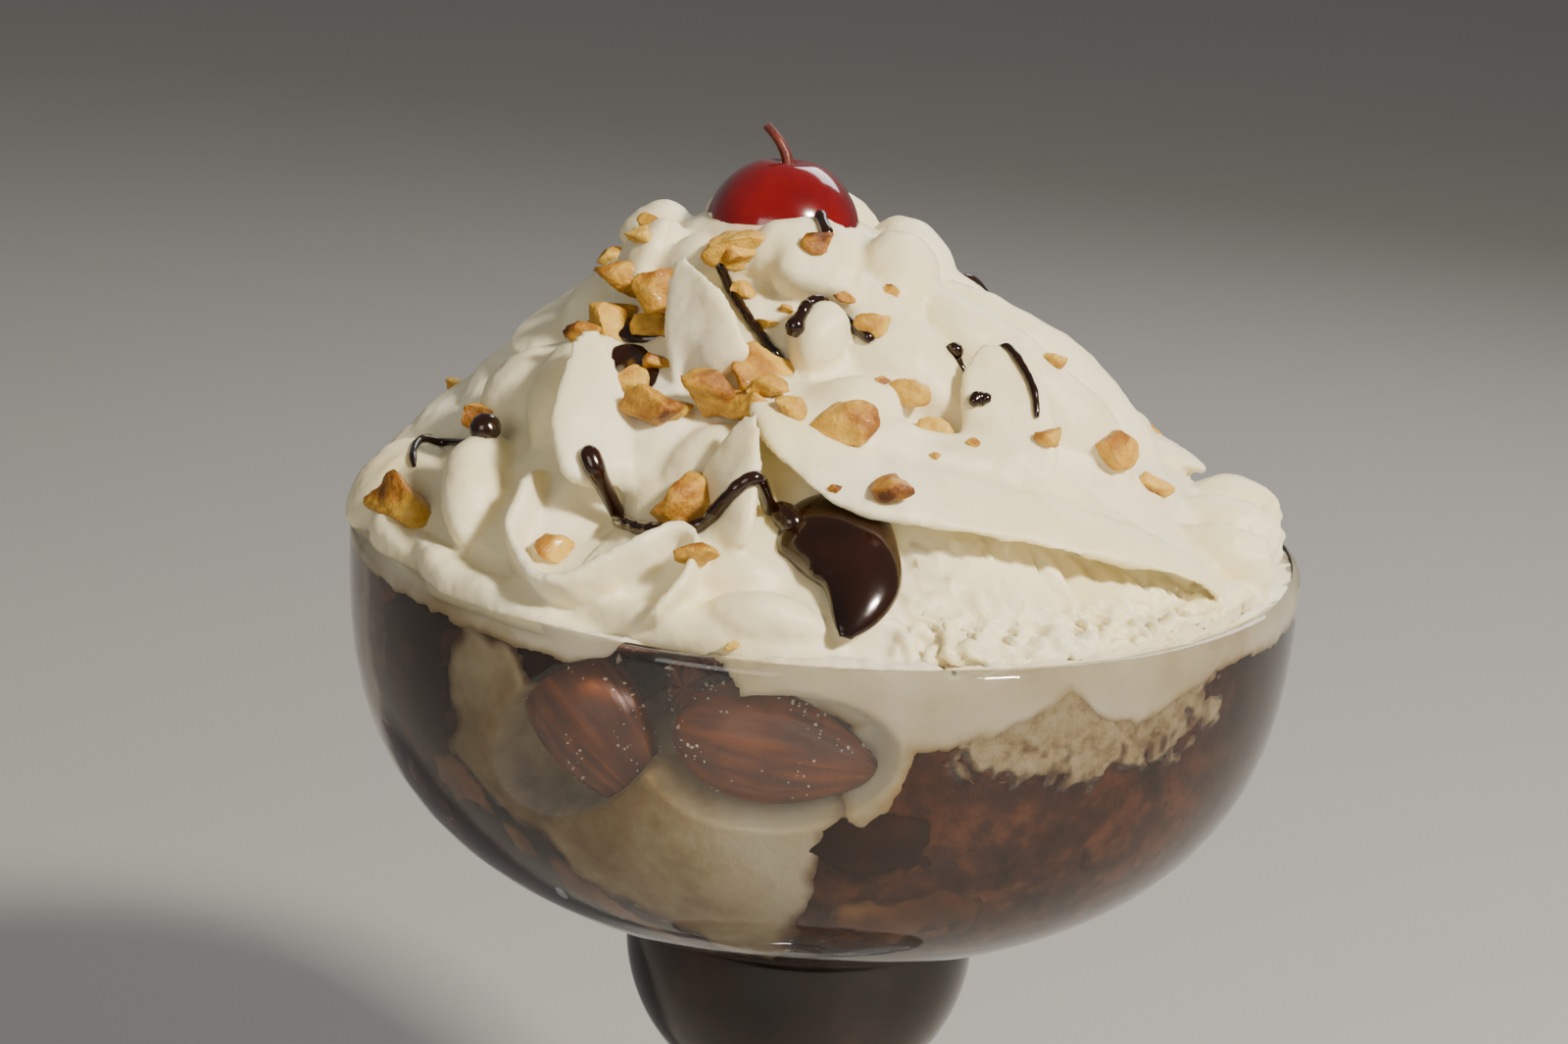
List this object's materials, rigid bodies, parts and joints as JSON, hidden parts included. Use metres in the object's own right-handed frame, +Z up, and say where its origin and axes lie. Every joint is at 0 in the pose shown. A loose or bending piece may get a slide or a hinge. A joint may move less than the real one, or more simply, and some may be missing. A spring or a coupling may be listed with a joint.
{
  "type": "ice cream sundae",
  "caption": "Ice cream sundae in a clear stemmed coupe: fudge, brownie, vanilla ice cream and almonds under whipped cream with chopped nuts and a cherry.",
  "frame": {"origin": "centre of the foot's flat underside, on the glass's axis", "axes": "+Z up through the stem to the cherry, -Y towards the side that the picture shows, +X to its right"},
  "size_m": [0.12, 0.12, 0.2001],
  "materials": {
    "glass": "clear blown glass, fire-polished rim",
    "fudge": "wet glossy dark chocolate fudge",
    "brownie": "moist dark brownie soaked with fudge",
    "ice_cream": "vanilla ice cream, softly melted where it meets the glass",
    "almond": "roasted brown skin with fine ridges and salt",
    "whipped_cream": "piped whipped cream, satin and slightly grained",
    "cherry": "wet glossy maraschino cherry",
    "nut": "toasted chopped nut, browner on the skin side"
  },
  "bodies": {
    "root": {"glass": "glass", "fudge_sauce": "fudge", "brownie": "brownie", "ice_cream_front": "ice_cream", "ice_cream_right": "ice_cream", "ice_cream_back": "ice_cream", "almond_front": "almond", "almond_left": "almond", "almond_behind": "almond", "whipped_cream": "whipped_cream", "fudge_drop": "fudge", "cherry": "cherry", "nut_01": "nut", "nut_02": "nut", "nut_03": "nut", "nut_04": "nut", "nut_05": "nut", "nut_06": "nut", "nut_07": "nut", "nut_08": "nut", "nut_09": "nut", "nut_10": "nut", "nut_11": "nut", "nut_12": "nut", "nut_13": "nut", "nut_14": "nut", "nut_15": "nut"}
  },
  "joints": []
}
